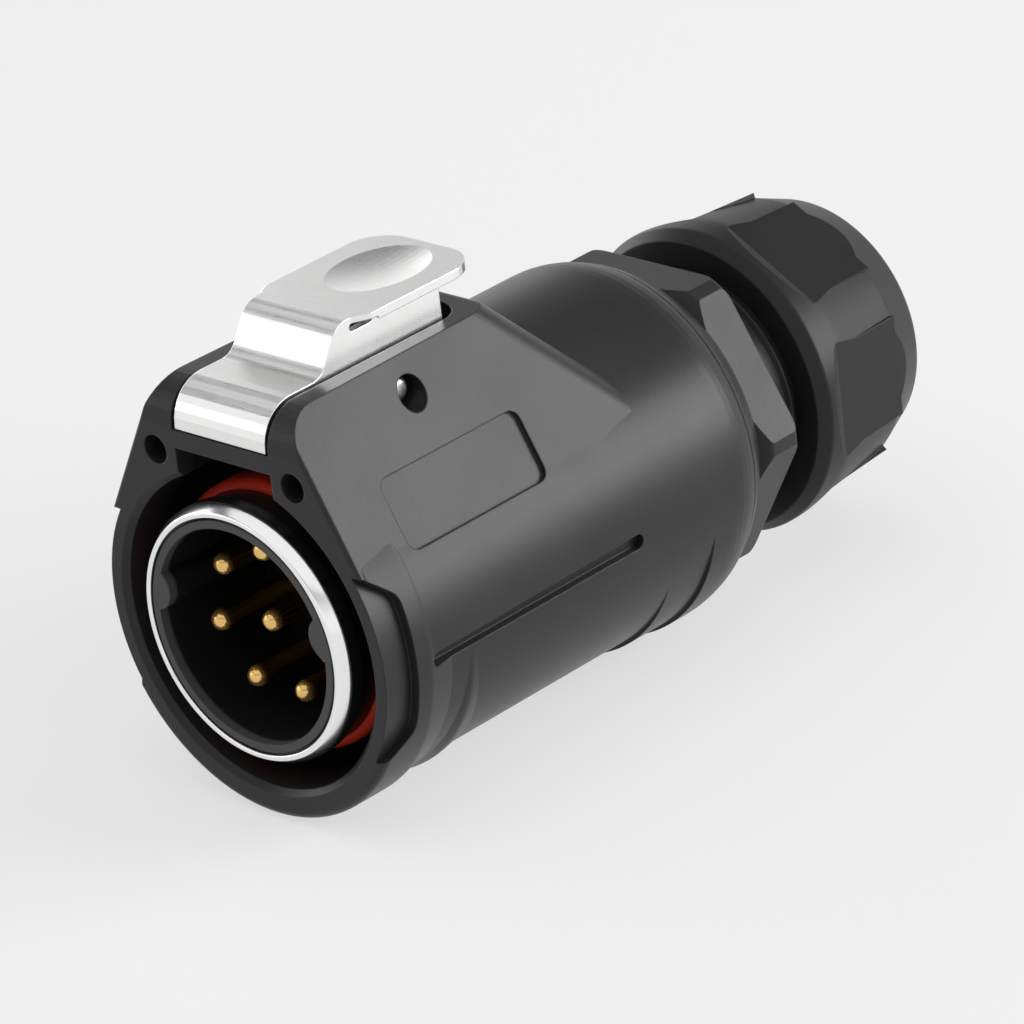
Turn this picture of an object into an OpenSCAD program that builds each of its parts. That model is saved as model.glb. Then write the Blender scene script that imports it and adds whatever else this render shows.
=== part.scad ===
// Circular connector plug with a push latch, a keyed pin insert and a lobed gland nut.
// The mating axis is Y: the mouth faces -Y, the cable leaves along +Y, and the latch is on top, +Z.

/* [Shell] */
// Diameter of the shell's barrel-shaped body
body_d = 27.4; // [26.6:0.1:30]
// Length of the shell from its front face to the seam with the rear adapter
shell_len = 39.3; // [38:0.1:46]
// Diameter of the rim flange at the front
flange_d = 28.4; // [27.8:0.1:31]
// Diameter of the mating cavity
cavity_d = 24; // [23.8:0.05:24.4]
// Depth of the mating cavity down to the web
cavity_depth = 13; // [12:0.2:15]
// Thickness of the web that carries the insert
web_t = 3; // [2:0.2:4]
// Diameter of the wire chamber behind the web
chamber_d = 22.2; // [21.8:0.1:23]
// Radius of the round tail behind the grips
tail_r = 6.3; // [5.8:0.1:7]

/* [Latch hump] */
// Height of the hump's top above the mating axis
hump_h = 18; // [17.4:0.1:19]
// How far the flanks lean in from upright, in degrees
flank_lean = 28.3; // [26:0.1:30]
// Distance from the front face to the hump's rear edge
hump_len = 22; // [21:0.2:24]
// Steepness of the hump's rear slope, in degrees
hump_slope = 47; // [42:1:60]
// Width of the channel that the latch lever lies in
channel_w = 9.5; // [9.2:0.1:9.9]
// Height of the bridge across the front of the channel
bridge_h = 1.4; // [1:0.1:1.5]
// Thickness of the bridge along the mating axis
bridge_t = 1.6; // [1:0.1:1.8]

/* [Latch lever] */
// Thickness of the lever's sheet
lever_t = 0.7; // [0.5:0.05:0.8]
// Width of the lever at its front lip
lever_w = 8.9; // [8.4:0.1:9]
// Width of the thumb pad
pad_w = 10.4; // [9.8:0.1:11]
// Height of the thumb pad's top above the hump's top
pad_rise = 3.4; // [3:0.1:4]
// Distance from the front face to the rear edge of the thumb pad
pad_end = 22.3; // [21.5:0.1:24]
// Diameter of the hinge pin
pin_d = 2; // [1.6:0.1:2.2]
// Distance from the front face to the hinge pin
pin_y = 11.7; // [11:0.1:12.4]
// Radial clearance of the lever's holes on the hinge pin
pin_fit = 0.03; // [0.02:0.01:0.08]

/* [Insert] */
// Bore of the front ring
ring_bore_d = 18; // [17.8:0.1:18.2]
// Outer diameter of the front ring
ring_d = 19.5; // [19.4:0.05:20]
// How far the front ring stands out of the shell
ring_out = 0.6; // [0.3:0.1:1.5]
// Outer diameter of the barrel
barrel_d = 19.2; // [19:0.05:19.3]
// Outer diameter of the face seal
seal_d = 20.9; // [20.4:0.1:21.8]
// Distance from the front face to the face seal
seal_y = 2.3; // [1.5:0.1:4]
// Depth of the contact cup below the front face
cup_depth = 10; // [8:0.5:11]
// Diameter of a contact pin
contact_d = 1.6; // [1.2:0.1:1.8]
// Number of contacts on the contact circle
circle_contacts = 7; // [4:1:7]
// Diameter of the contact circle
circle_d = 11; // [10:0.2:11.4]
// Distance from the front face to the contact tips
tip_y = 1.9; // [1:0.1:4]

/* [Gland] */
// Width across the flats of the rear adapter's hexagon
hex_af = 22.5; // [21:0.1:24]
// Length of the hexagon
hex_len = 3; // [2.6:0.1:5]
// Diameter of the threaded neck
neck_d = 18.8; // [18.4:0.1:19]
// Length of the threaded neck behind the hexagon
neck_len = 10.2; // [9.6:0.1:11.4]
// Diameter of the gland nut over its lobes
nut_d = 24.4; // [23.6:0.1:26]
// Length of the gland nut
nut_len = 14; // [13.6:0.1:15]
// Gap between the hexagon and the gland nut
nut_gap = 3.5; // [3:0.1:4]
// Number of lobes on the gland nut
nut_lobes = 6; // [4:1:8]
// Bore of the gland seal, the cable's diameter
cable_d = 9.2; // [6:0.1:10]

/* [Hidden] */
$fn = 96;
overlap = 0.02;
reach = 60;
fit = 0.05;
slack = 0.1;
sides = [1, -1];

body_r = body_d / 2;
flange_r = flange_d / 2;
flange_len = 3.9;
flange_run = 2.6;
edge_r = 0.6;

// Cheeks narrow from the rim back to the body, and flanks that just cross them lean in and narrow with them
cheek_r = flange_r;
cheek_len = hump_len + 4;
flank_cross = 4;
flank_front = cheek_r * cos(flank_cross);
flank_draft = (cheek_r - body_r) * cos(flank_cross) / cheek_len;
draft_angle = atan(flank_draft);
flank_n = [cos(flank_lean) * cos(draft_angle), sin(draft_angle), sin(flank_lean) * cos(draft_angle)];
function flank_x(z, y) = (flank_front - flank_draft * y - z * sin(flank_lean)) / cos(flank_lean);
hump_corner_r = 2.6;
flank_edge_r = 0.3;

// Hinge: the pin lies just over half-way from the cavity up to the hump's top, and the channel clears its ears
cavity_r = cavity_d / 2;
pin_lift = 0.5;
pin_z = (cavity_r + hump_h) / 2 + pin_lift;
ear_wall = 0.6;
ear_gap = 0.15;
ear_r = pin_d / 2 + ear_wall;
channel_floor = pin_z - ear_r - ear_gap;

// Channel, bridge and the notch that the hook hangs into
bridge_drop = 0.4;
bridge_z = channel_floor - bridge_drop;
bridge_top = bridge_z + bridge_h;
channel_end = hump_len - 1.5;
channel_end_r = 2.4;
notch_len = 5.2;
notch_w = channel_w - 0.1;
guide_hole = [6.75, 12.8, 2.2, 6];
nose_share = 0.954;
hump_nose_r = nose_share * (hump_h - bridge_top);

// Flank details
pocket_r = flange_r - 0.75;
pocket_len = 2.5;
pocket_h = 14;
groove = [4.75, 21.2, -0.46, 1.15, 0.7];
plate = [5.3, 14.3, 3.1, 5.5, 0.9, 0.35];

// Grip steps: [front wall's y, how far the step's form is lowered, its radius, tail radius, tail's run]
tail_run = 5.1;
grip_steps = [
    [shell_len - 9.2, 0.82, body_r - 0.36, tail_r, tail_run], [shell_len - 4.9, 1, body_r - 0.23, 7.6, 5.7]];
seam = 0.08;
bead = [6.9, 1.6, 2.6, 0.4, 0.4];

// Lever
lever_gap = 0.1;
lip_y = 0.05;
lip_z = bridge_top + lever_gap;
plateau_rise = 0.15;
plateau_z = hump_h + plateau_rise;
pad_z = hump_h + pad_rise;
nose_r = hump_nose_r;
riser_lean = 58;
riser_y = 6.18;
riser_low_r = 1.6;
riser_top_r = 1.9;
pad_corner_r = 3;
flange_t = lever_t;
flange_x = channel_w / 2 - 0.3;
ear_end = pad_end - 3.9;
hook_w = 4.4;
hook_y = 3;
hook_dip = 0.25;
hook_tip_z = cavity_r - hook_dip;
dish = [3.3, 4.4, 0.3, 17.1];

// Hinge pin and spring
pin_half = 5.4;
pin_hole_d = pin_d + 0.5;
spring_y = 16.6;
spring_d = 4.4;
spring_wire = 0.5;
spring_turns = 6;

// Insert
web_y = cavity_depth;
web_end = cavity_depth + web_t;
barrel_r = barrel_d / 2;
ring_r = ring_d / 2;
ring_bore_r = ring_bore_d / 2;
ring_lip = 0.4;
ring_skirt = 1.3;
ring_seat_r = barrel_r - 0.3;
seal_len = 3.2;
shoulder_r = seal_d / 2 - 0.4;
gasket_t = 0.5;
barrel_flange_t = 2.5;
barrel_tail = 5;
flange_front = web_y - gasket_t - barrel_flange_t;
insert_flange_y = web_end + barrel_tail;
insert_flange_t = 1.4;
insulator_r = ring_bore_r - 0.2;
cup_r = insulator_r - 0.6;
key_angles = [12, 168];
key_round = 1.7;
key_set = 0.6;
insert_end = insert_flange_y + insert_flange_t;
insert_nut_gap = 0.3;
insert_nut_r = chamber_d / 2 - insert_nut_gap;
insert_lip_t = 1;
insert_lip_in = 0.5;
spanner_slot = 1.6;
contact_base_t = 4;
contact_collar_y = cup_depth + contact_base_t;
contact_collar_d = contact_d + 0.7;
solder_cup_out = 4.6;
contact_end = insert_end + solder_cup_out;
contact_total = circle_contacts + 1;
function contact_xz(i) = i == circle_contacts ? [0, 0]
    : circle_d / 2 * [cos(90 + i * 360 / circle_contacts), sin(90 + i * 360 / circle_contacts)];

// Rear adapter and gland
chamber_r = chamber_d / 2;
spigot_r = chamber_r - fit;
spigot_len = 8;
collar_len = 2.7;
hex_y = shell_len + collar_len;
hex_end = hex_y + hex_len;
hex_corner_r = hex_af / 2 * 1.129;
hex_nose = 1.2;
neck_r = neck_d / 2;
neck_end = hex_end + neck_len;
wire_bore_r = 7;
neck_wall = 1.1;
cage_wall = 1;
cage_seat = 6.5;
cage_out = 3.6;
cage_collar_t = 1;
seal_short = 1.4;
cage_r = neck_r - neck_wall;
cage_y = neck_end - cage_seat;
cage_inner_r = cage_r - cage_wall;
cage_end = neck_end + cage_out;
cage_fingers = 10;
cage_slot = 1;
o_ring_r = 0.45;
o_ring_y = shell_len - 3.6;
nut_y = hex_end + nut_gap;
nut_end = nut_y + nut_len;
nut_r = nut_d / 2;
nut_bore_r = neck_r + fit;
nut_mouth_r = nut_r - 0.75;
nut_cone_y = neck_end + cage_collar_t * 1.4;
nut_hole_r = 6.5;
lobe_half = 9.8;
lobe_y = nut_y + 3;
lobe_sink = 1;
lobe_bend_r = 8;
dome_len = 3.9;
dome_y = nut_end - dome_len;
dome_r = [nut_r - lobe_sink, nut_r - 2.5];
dome_round = 1.2;
flat_y = nut_y + 1.3;
flat_run = 1.5;
flat_depth = [0.9, 1.3, 1.7];
flat_bend_r = 0.8;

// Outlines: a list of [x, y, corner radius] turned into points, with an arc at each rounded corner
function unit(v) = v / norm(v);
function turn(a) = a > 180 ? a - 360 : a < -180 ? a + 360 : a;
function corner(a, b, c, r, n = 8) =
    let (u = unit(a - b), v = unit(c - b), half = acos(u * v) / 2, o = b + unit(u + v) * r / sin(half))
    let (p = b + u * r / tan(half) - o, q = b + v * r / tan(half) - o)
    let (from = atan2(p.y, p.x), sweep = turn(atan2(q.y, q.x) - from))
    [for (k = [0:n]) o + r * [cos(from + sweep * k / n), sin(from + sweep * k / n)]];
function flat(p) = [p.x, p.y];
function outline(pts) = [
    for (i = [0:len(pts) - 1])
        let (n = len(pts), a = flat(pts[(i + n - 1) % n]), b = flat(pts[i]), c = flat(pts[(i + 1) % n]))
        each pts[i][2] > 0 ? corner(a, b, c, pts[i][2]) : [b]];

// Drawing planes: a turned profile about the mating axis, a cross-section, and a side view
module turned(pts) {
    rotate([-90, 0, 0]) rotate_extrude() polygon(outline(pts));
}
module rod(r, y0, y1) {
    translate([0, y0, 0]) rotate([-90, 0, 0]) cylinder(r = r, h = y1 - y0);
}
module cone(r0, r1, y0, y1) {
    translate([0, y0, 0]) rotate([-90, 0, 0]) cylinder(r1 = r0, r2 = r1, h = y1 - y0);
}
module section(y0, y1) {
    translate([0, y1, 0]) rotate([90, 0, 0]) linear_extrude(y1 - y0) children();
}
module side_view(x0, x1) {
    translate([x0, 0, 0]) rotate([90, 0, 90]) linear_extrude(x1 - x0) children();
}
module cross_rod(r, x0, x1, y, z) {
    translate([x0, y, z]) rotate([0, 90, 0]) cylinder(r = r, h = x1 - x0);
}
module tube(r_out, r_in, y0, y1) {
    difference() {
        rod(r_out, y0, y1);
        rod(r_in, y0 - 1, y1 + 1);
    }
}

// Cutter that rounds a straight edge at point p between two faces with outward normals n1 and n2.
// Its arc is a hair wide, so that it crosses both faces cleanly.
round_wide = 1.002;
module round_edge(p, n1, n2, r) {
    e = unit(cross(n1, n2));
    m = cross(e, n1);
    bend = acos(n1 * n2);
    c = -r / cos(bend / 2) * [cos(bend / 2), sin(bend / 2)];
    b = [cos(bend), sin(bend)];
    multmatrix([[n1.x, m.x, e.x, p.x], [n1.y, m.y, e.y, p.y], [n1.z, m.z, e.z, p.z], [0, 0, 0, 1]])
        translate([0, 0, -reach / 2])
            linear_extrude(reach) difference() {
                polygon([c, c + [r + 1, 0], -c, c + (r + 1) * b]);
                translate(c) circle(r * round_wide);
            }
}

// Turned form with a round tail that ends at the hexagon, lowered by drop
module body_form(y0, y1, drop, r, round_r, run) {
    start = hex_y - run;
    centre_r = r - round_r;
    end = asin((run + 0.2) / round_r);
    tail = [for (k = [0:10]) let (a = end * k / 10) [centre_r + round_r * cos(a), start + round_r * sin(a)]];
    intersection() {
        translate([0, 0, -drop]) rotate([-90, 0, 0]) rotate_extrude()
            polygon(concat([[0, 0], [r, 0]], tail, [[0, tail[10].y]]));
        rod(reach, y0, y1);
    }
}
module tail_form(y0, y1) {
    body_form(y0, y1, 0, body_r, tail_r, tail_run);
    for (step = grip_steps) body_form(max(y0, step[0]), y1, step[1], step[2], step[3], step[4]);
}

// Bead under the belly that fades out up the sides
module bead_form() {
    low = body_r - bead[4];
    translate([0, 0, -bead[3]]) turned([
        [0, bead[0], 0], [low, bead[0], 0], [body_r, bead[0] + bead[1], 1.5],
        [low, bead[0] + bead[1] + bead[2], 0],
        [0, bead[0] + bead[1] + bead[2], 0]]);
}

// Rim flange at the front, run out into the body
module flange_form() {
    turned([
        [0, 0, 0], [flange_r, 0, edge_r], [flange_r, flange_len, 2],
        [body_r - overlap, flange_len + flange_run, 0],
        [0, flange_len + flange_run, 0]]);
}

// Sides above the groove
module cheek_form() {
    intersection() {
        cone(cheek_r, body_r, edge_r, cheek_len);
        translate([-reach, 0, groove[2]]) cube([2 * reach, reach, reach]);
    }
}

// Hump with leaning flanks, a round nose and a sloping rear
module hump_form() {
    foot_z = 6;
    slope_n = [0, sin(hump_slope), cos(hump_slope)];
    foot_run = (hump_h - foot_z) / tan(hump_slope);
    difference() {
        intersection() {
            inside_flank(1);
            inside_flank(-1);
            side_view(-reach, reach) polygon(outline([
                [0, foot_z, 0], [0, hump_h, hump_nose_r], [hump_len, hump_h, 1],
                [hump_len + foot_run, foot_z, 0]]));
        }
        for (s = sides) {
            n = [s * flank_n.x, flank_n.y, flank_n.z];
            round_edge([s * flank_x(hump_h, hump_len), hump_len, hump_h], n, slope_n, hump_corner_r);
            round_edge([s * flank_x(0, 0), 0, 0], n, [0, -1, 0], flank_edge_r);
        }
    }
}
module inside_flank(s) {
    mirror([s > 0 ? 0 : 1, 0, 0]) rotate([0, -flank_lean, 0]) translate([0, 0, -reach])
        linear_extrude(2 * reach) polygon([
            [-reach, 0], [flank_front, 0], [flank_front - flank_draft * reach, reach], [-reach, reach]]);
}

module shell() {
    color("#2e2f31")
        difference() {
            union() {
                tail_form(0.8, shell_len - seam);
                flange_form();
                bead_form();
                cheek_form();
                hump_form();
            }
            shell_bores();
            latch_channel();
            flank_cuts();
            plate_recess();
        }
}
module shell_bores() {
    lead = 0.45;
    rod(cavity_r, -1, cavity_depth);
    cone(cavity_r + lead + 1, cavity_r, -1, lead);
    rod(barrel_r + slack, cavity_depth - 1, web_end + 1);
    rod(chamber_r, web_end, shell_len + 1);
    for (s = sides) {
        translate([s * guide_hole[0], -1, guide_hole[1]]) rotate([-90, 0, 0])
            cylinder(d = guide_hole[2], h = guide_hole[3] + 1);
    }
}
module latch_channel() {
    half = channel_w / 2;
    top = bridge_top;
    intersection() {
        side_view(-half, half) polygon([
            [-1, top], [bridge_t, top], [bridge_t, cavity_r - 1], [notch_len, cavity_r - 1],
            [notch_len, channel_floor], [channel_end, channel_floor], [channel_end, reach], [-1, reach]]);
        linear_extrude(reach) polygon(outline([
            [-half - 1, -2, 0], [half + 1, -2, 0], [half + 1, channel_end - 3, 0], [half, channel_end - 3, 0],
            [half, channel_end, channel_end_r], [-half, channel_end, channel_end_r],
            [-half, channel_end - 3, 0], [-half - 1, channel_end - 3, 0]]));
    }
    translate([-notch_w / 2, -1, cavity_r - 3]) cube([notch_w, notch_len + 1, bridge_z - cavity_r + 3]);
    cross_rod(pin_d / 2, -reach, reach, pin_y, pin_z);
    for (s = sides) {
        cross_rod(pin_hole_d / 2, s > 0 ? pin_half : -reach, s > 0 ? reach : -pin_half, pin_y, pin_z);
    }
}
module flank_cuts() {
    intersection() {
        tube(reach, pocket_r, -1, pocket_len);
        side_view(-reach, reach) polygon(outline([
            [-1, -pocket_h / 2 - 0.6, 0], [0.3, -pocket_h / 2, 0.5], [pocket_len, -pocket_h * 0.37, 1.4],
            [pocket_len, pocket_h * 0.37, 1.4], [0.3, pocket_h / 2, 0.5], [-1, pocket_h / 2 + 0.6, 0]]));
    }
    intersection() {
        tube(reach, body_r - groove[4], 0, shell_len);
        side_view(-reach, reach) {
            translate([groove[0], groove[2] - groove[3] / 2]) square([groove[1], groove[3]]);
            for (y = [groove[0], groove[0] + groove[1]]) translate([y, groove[2]]) circle(d = groove[3]);
        }
    }
}
module plate_recess() {
    y0 = plate[0];
    y1 = plate[0] + plate[1];
    up = plate[2];
    r = plate[4];
    half = plate[3] / 2;
    rotate([0, -flank_lean, 0]) translate([flank_front, 0, 0]) rotate([0, 0, draft_angle])
        translate([-plate[5], 0, 0]) rotate([90, 0, 90])
            linear_extrude(1 + plate[5]) polygon(outline([
                [y0, up - half, r], [y1, up - half, r], [y1, up + half, r], [y0, up + half, r]]));
}

// Turned metal ring with a lip over the barrel's mouth
module front_ring() {
    color("#d9dadb") turned([
        [ring_bore_r, -ring_out, 0.2], [ring_r, -ring_out, 0.45], [ring_r, ring_skirt, 0],
        [ring_seat_r + overlap, ring_skirt, 0], [ring_seat_r + overlap, ring_lip - ring_out, 0],
        [ring_bore_r, ring_lip - ring_out, 0]]);
}

// Tube with a ring seat, a seal seat, a shoulder, a flange and a threaded tail
module barrel() {
    bore = insulator_r + fit;
    color("#151617") turned([
        [bore, ring_lip - ring_out, 0], [ring_seat_r, ring_lip - ring_out, 0],
        [ring_seat_r, ring_skirt + overlap, 0], [barrel_r, ring_skirt + overlap, 0],
        [barrel_r, seal_y + seal_len, 0], [shoulder_r, seal_y + seal_len, 0],
        [shoulder_r, flange_front, 0], [cavity_r - slack, flange_front, 0],
        [cavity_r - slack, web_y - gasket_t, 0],
        [barrel_r, web_y - gasket_t, 0], [barrel_r, insert_flange_y, 0], [bore, insert_flange_y, 0]]);
}

// Cup with two key ribs, on a base bored for the contacts
module insulator() {
    lip = -ring_out + 0.1;
    color("#3a3b3d")
        difference() {
            union() {
                rod(insulator_r, lip, insert_end);
                rod(barrel_r - fit, insert_flange_y, insert_end);
            }
            difference() {
                rod(cup_r, lip - 1, cup_depth);
                for (a = key_angles) key_rib(a);
            }
            for (i = [0:contact_total - 1]) contact_bore(contact_xz(i));
        }
}
module key_rib(a) {
    rotate([0, -a, 0]) translate([cup_r + key_set, 0, 0]) rod(key_round, -reach, reach);
}
module contact_bore(at) {
    translate([at.x, 0, at.y]) {
        rod(contact_d / 2 + fit, cup_depth - 1, contact_collar_y + 1);
        rod(contact_collar_d / 2 + fit, contact_collar_y, insert_end + 1);
    }
}

// Round-nosed pin with a collar and a solder cup
module contact_pin(i) {
    at = contact_xz(i);
    r = contact_d / 2;
    cup = contact_collar_d / 2;
    color("#d8a444") translate([at.x, 0, at.y])
        difference() {
            turned([
                [0, tip_y, 0], [r, tip_y, r * 0.98], [r, contact_collar_y, 0], [cup, contact_collar_y, 0],
                [cup, contact_collar_y + 2, 0.1], [r, contact_collar_y + 2, 0.1], [r, insert_end - 1, 0.1],
                [cup, insert_end - 1, 0.1], [cup, contact_end, 0.1], [0, contact_end, 0]]);
            rod(r - 0.05, contact_end - 3.6, contact_end + 1);
            translate([-reach, contact_end - 2.6, r * 0.3]) cube([2 * reach, reach, reach]);
        }
}

// Lipped ring round the barrel against its shoulder
module face_seal() {
    color("#b3120f") turned([
        [barrel_r + overlap, seal_y, 0.3], [seal_d / 2, seal_y, 0.5],
        [seal_d / 2, seal_y + seal_len - overlap, 0.2], [barrel_r + overlap, seal_y + seal_len - overlap, 0]]);
}

module barrel_gasket() {
    color("#1b1b1c") tube(cavity_r - slack, barrel_r + slack, web_y - gasket_t, web_y);
}

// Ring nut behind the web, lipped over the insulator's flange, with two spanner slots
module insert_nut() {
    end = insert_end + slack + insert_lip_t;
    color("#26282a")
        difference() {
            turned([
                [barrel_r + fit, web_end, 0], [insert_nut_r, web_end, 0.3], [insert_nut_r, end, 0.4],
                [insulator_r - insert_lip_in, end, 0], [insulator_r - insert_lip_in, end - insert_lip_t, 0],
                [barrel_r + fit, end - insert_lip_t, 0]]);
            translate([-reach, end - spanner_slot / 2, -spanner_slot / 2])
                cube([2 * reach, reach, spanner_slot]);
        }
}

// Stamped lever: a bent sheet trimmed to its plan, with side flanges, hinge ears and a hook
module latch_lever() {
    color("#c9cacc")
        difference() {
            union() {
                lever_sheet();
                for (s = sides) lever_flange(s);
                lever_hook();
            }
            cross_rod(pin_d / 2 + pin_fit, -reach, reach, pin_y, pin_z);
            pad_dish();
            for (s = sides) flange_relief(s);
        }
}
function lever_path() = [
    [lip_y, lip_z, 0], [lip_y, plateau_z, nose_r], [riser_y, plateau_z, riser_low_r],
    [riser_y + (pad_z - plateau_z) / tan(riser_lean), pad_z, riser_top_r], [pad_end + 1, pad_z, 0]];
function lever_back() =
    let (p = lever_path(), t = lever_t, k = lever_t * tan(riser_lean / 2))
    [[p[4].x, p[4].y - t, 0], [p[3].x + k, p[3].y - t, riser_top_r - t],
     [p[2].x + k, p[2].y - t, riser_low_r + t], [p[1].x + t, p[1].y - t, nose_r - t], [p[0].x + t, p[0].y, 0]];
module lever_sheet() {
    half = lever_w / 2;
    pad = pad_w / 2;
    pad_from = riser_y + (pad_z - plateau_z) / tan(riser_lean) + 1.4;
    intersection() {
        side_view(-reach, reach) polygon(outline(concat(lever_path(), lever_back())));
        linear_extrude(reach) polygon(outline([
            [half, -1, 0], [half, pad_from, 0.8], [pad, pad_from + 1.4, 0.8], [pad, pad_end, pad_corner_r],
            [-pad, pad_end, pad_corner_r], [-pad, pad_from + 1.4, 0.8],
            [-half, pad_from, 0.8], [-half, -1, 0]]));
    }
}
module lever_flange(s) {
    p = lever_path();
    top = pad_z - lever_t / 2;
    low = plateau_z - lever_t / 2;
    side_view(s > 0 ? flange_x - flange_t : -flange_x, s > 0 ? flange_x : -flange_x + flange_t)
        polygon(outline([
            [p[2].x + lever_t / 2, low, 0], [p[3].x + lever_t / 2, top, 0.6], [ear_end, top, 0],
            [ear_end, pin_z + 1.4, 1.2], [pin_y + 2 * ear_r, pin_z + 0.4, 1.5],
            [pin_y + ear_r, pin_z - ear_r, ear_r * 0.9], [pin_y - ear_r, pin_z - ear_r, ear_r * 0.9],
            [pin_y - 2 * ear_r, pin_z + 0.8, 1.2], [p[2].x, low - 0.6, 0]]));
}
module lever_hook() {
    side_view(-hook_w / 2, hook_w / 2) polygon([
        [hook_y, plateau_z - lever_t / 2], [hook_y, hook_tip_z + 1.1], [hook_y - 0.5, hook_tip_z + 0.9],
        [hook_y - 0.5, hook_tip_z + 0.6], [hook_y + 0.2, hook_tip_z], [hook_y + lever_t, hook_tip_z],
        [hook_y + lever_t, plateau_z - lever_t / 2]]);
}
module pad_dish() {
    rx = (dish[0] * dish[0] + dish[2] * dish[2]) / (2 * dish[2]);
    ry = (dish[1] * dish[1] + dish[2] * dish[2]) / (2 * dish[2]);
    half = dish[0] * 1.4;
    bow = [for (k = [-8:8]) let (x = half * k / 8) [ry - rx + sqrt(rx * rx - x * x), x]];
    translate([0, dish[3], pad_z - dish[2] + ry]) rotate([0, 90, 0]) rotate_extrude($fn = 360)
        polygon(concat([[0, -half]], bow, [[0, half]]));
}
module flange_relief(s) {
    y0 = riser_y + (pad_z - plateau_z) / tan(riser_lean) + 1.5;
    z = pad_z - lever_t - 0.05;
    x0 = s > 0 ? flange_x - flange_t - 0.5 : -flange_x - 1;
    x1 = x0 + flange_t + 1.5;
    cross_rod(0.3, x0, x1, y0, z);
    cross_rod(0.3, x0, x1, y0 + 1.7, z);
    translate([x0, y0, z - 0.3]) cube([x1 - x0, 1.7, 0.6]);
}

module latch_pin() {
    color("#b9babc") cross_rod(pin_d / 2 - overlap, -pin_half, pin_half, pin_y, pin_z);
}

// Coil spring swept as one tube between the channel floor and the pad
function spring_point(a, h) =
    let (r = (spring_d - spring_wire) / 2)
    [r * cos(a), r * sin(a), spring_wire / 2 + h * a / (360 * spring_turns)];
module latch_spring() {
    ring = 8;
    steps = 20 * spring_turns;
    h = pad_z - lever_t - channel_floor - spring_wire - slack;
    pts = [for (i = [0:steps]) let (a = 360 * spring_turns * i / steps, c = spring_point(a, h))
        for (k = [0:ring - 1]) let (b = 360 * k / ring)
            c + spring_wire / 2 * [cos(b) * cos(a), cos(b) * sin(a), sin(b)]];
    walls = [for (i = [0:steps - 1]) for (k = [0:ring - 1])
        [i * ring + k, i * ring + (k + 1) % ring, (i + 1) * ring + (k + 1) % ring, (i + 1) * ring + k]];
    caps = [[for (k = [ring - 1:-1:0]) k], [for (k = [0:ring - 1]) steps * ring + k]];
    color("#9fa2a6") translate([0, spring_y, channel_floor + slack / 2])
        polyhedron(pts, concat(walls, caps), convexity = 10);
}

// Back shell: a spigot in the shell, a collar, a hexagon with turned corners and a neck
module rear_adapter() {
    color("#2b2c2e")
        difference() {
            union() {
                rod(spigot_r, shell_len - spigot_len, shell_len + 1);
                tail_form(shell_len, hex_y);
                intersection() {
                    section(hex_y - hex_nose, hex_end) circle(r = hex_af / 2 / cos(30), $fn = 6);
                    turned([
                        [0, hex_y - hex_nose, 0], [hex_af / 2 - 0.1, hex_y - hex_nose, 0],
                        [hex_corner_r, hex_y + 0.1, 0.4],
                        [hex_corner_r, hex_end, 0.5], [0, hex_end, 0]]);
                }
                rod(neck_r, hex_y, neck_end);
            }
            rod(wire_bore_r, shell_len - spigot_len - 1, neck_end + 1);
            rod(cage_r + fit, cage_y, neck_end + 1);
            tube(reach, spigot_r - 2 * o_ring_r, o_ring_y - o_ring_r - fit, o_ring_y + o_ring_r + fit);
        }
}

module adapter_seal() {
    color("#1b1b1c") translate([0, o_ring_y, 0]) rotate([-90, 0, 0])
        rotate_extrude() translate([spigot_r - o_ring_r, 0]) circle(o_ring_r - overlap, $fn = 24);
}

// Cage with a collar on the neck and fingers that the nut's cone closes
module clamp_cage() {
    collar = neck_r - 0.3;
    pitch = 360 / cage_fingers;
    color("#55585b")
        difference() {
            turned([
                [cage_inner_r, cage_y + fit, 0], [cage_r, cage_y + fit, 0], [cage_r, neck_end + fit, 0],
                [collar, neck_end + fit, 0], [collar, neck_end + cage_collar_t, 0],
                [cage_r, neck_end + cage_collar_t * 1.4, 0], [cage_r - cage_wall, cage_end, 0],
                [cage_inner_r - 0.4, cage_end, 0], [cage_inner_r, cage_end - 1.2, 0]]);
            for (i = [0:cage_fingers - 1]) {
                rotate([0, i * pitch, 0]) translate([0, neck_end - 1.5, -cage_slot / 2])
                    cube([reach, reach, cage_slot]);
            }
        }
}

module gland_seal() {
    outer = cage_inner_r - fit;
    color("#1a1a1b") turned([
        [cable_d / 2, cage_y + fit, 0.6], [outer, cage_y + fit, 0.3], [outer, cage_end - seal_short, 0.5],
        [cable_d / 2, cage_end - seal_short, 0.6]]);
}

// Dome nut: a turned blank with flats, whose raised edges stand over the hollow lobes between them
module gland_nut() {
    color("#262729")
        difference() {
            union() {
                difference() {
                    nut_blank();
                    for (i = [0:nut_lobes - 1]) flat_cut(i);
                }
                for (i = [0:nut_lobes - 1]) flat_pad(i);
            }
            rod(nut_bore_r, nut_y - 1, nut_cone_y);
            cone(nut_bore_r, nut_hole_r, nut_cone_y - overlap, nut_end - 1.4);
            rod(nut_hole_r, nut_y, nut_end + 1);
        }
}
module nut_blank() {
    turned([
        [0, nut_y, 0], [nut_mouth_r, nut_y, 0.2], [nut_r, nut_y + 0.9, 0.5], [nut_r, lobe_y, lobe_bend_r],
        [dome_r[0], dome_y, dome_round], [dome_r[1], nut_end, dome_round], [0, nut_end, 0]]);
}
function flat_line() = [
    [nut_r + 0.1, flat_y, 0], [nut_r - flat_depth[0], flat_y + flat_run, flat_bend_r],
    [nut_r - flat_depth[1], dome_y, 0]];
module on_flat(i) {
    a = (i + 0.5) * 360 / nut_lobes + 30;
    rotate([0, -a, 0]) translate([0, 0, -reach / 2]) linear_extrude(reach) children();
}
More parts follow.
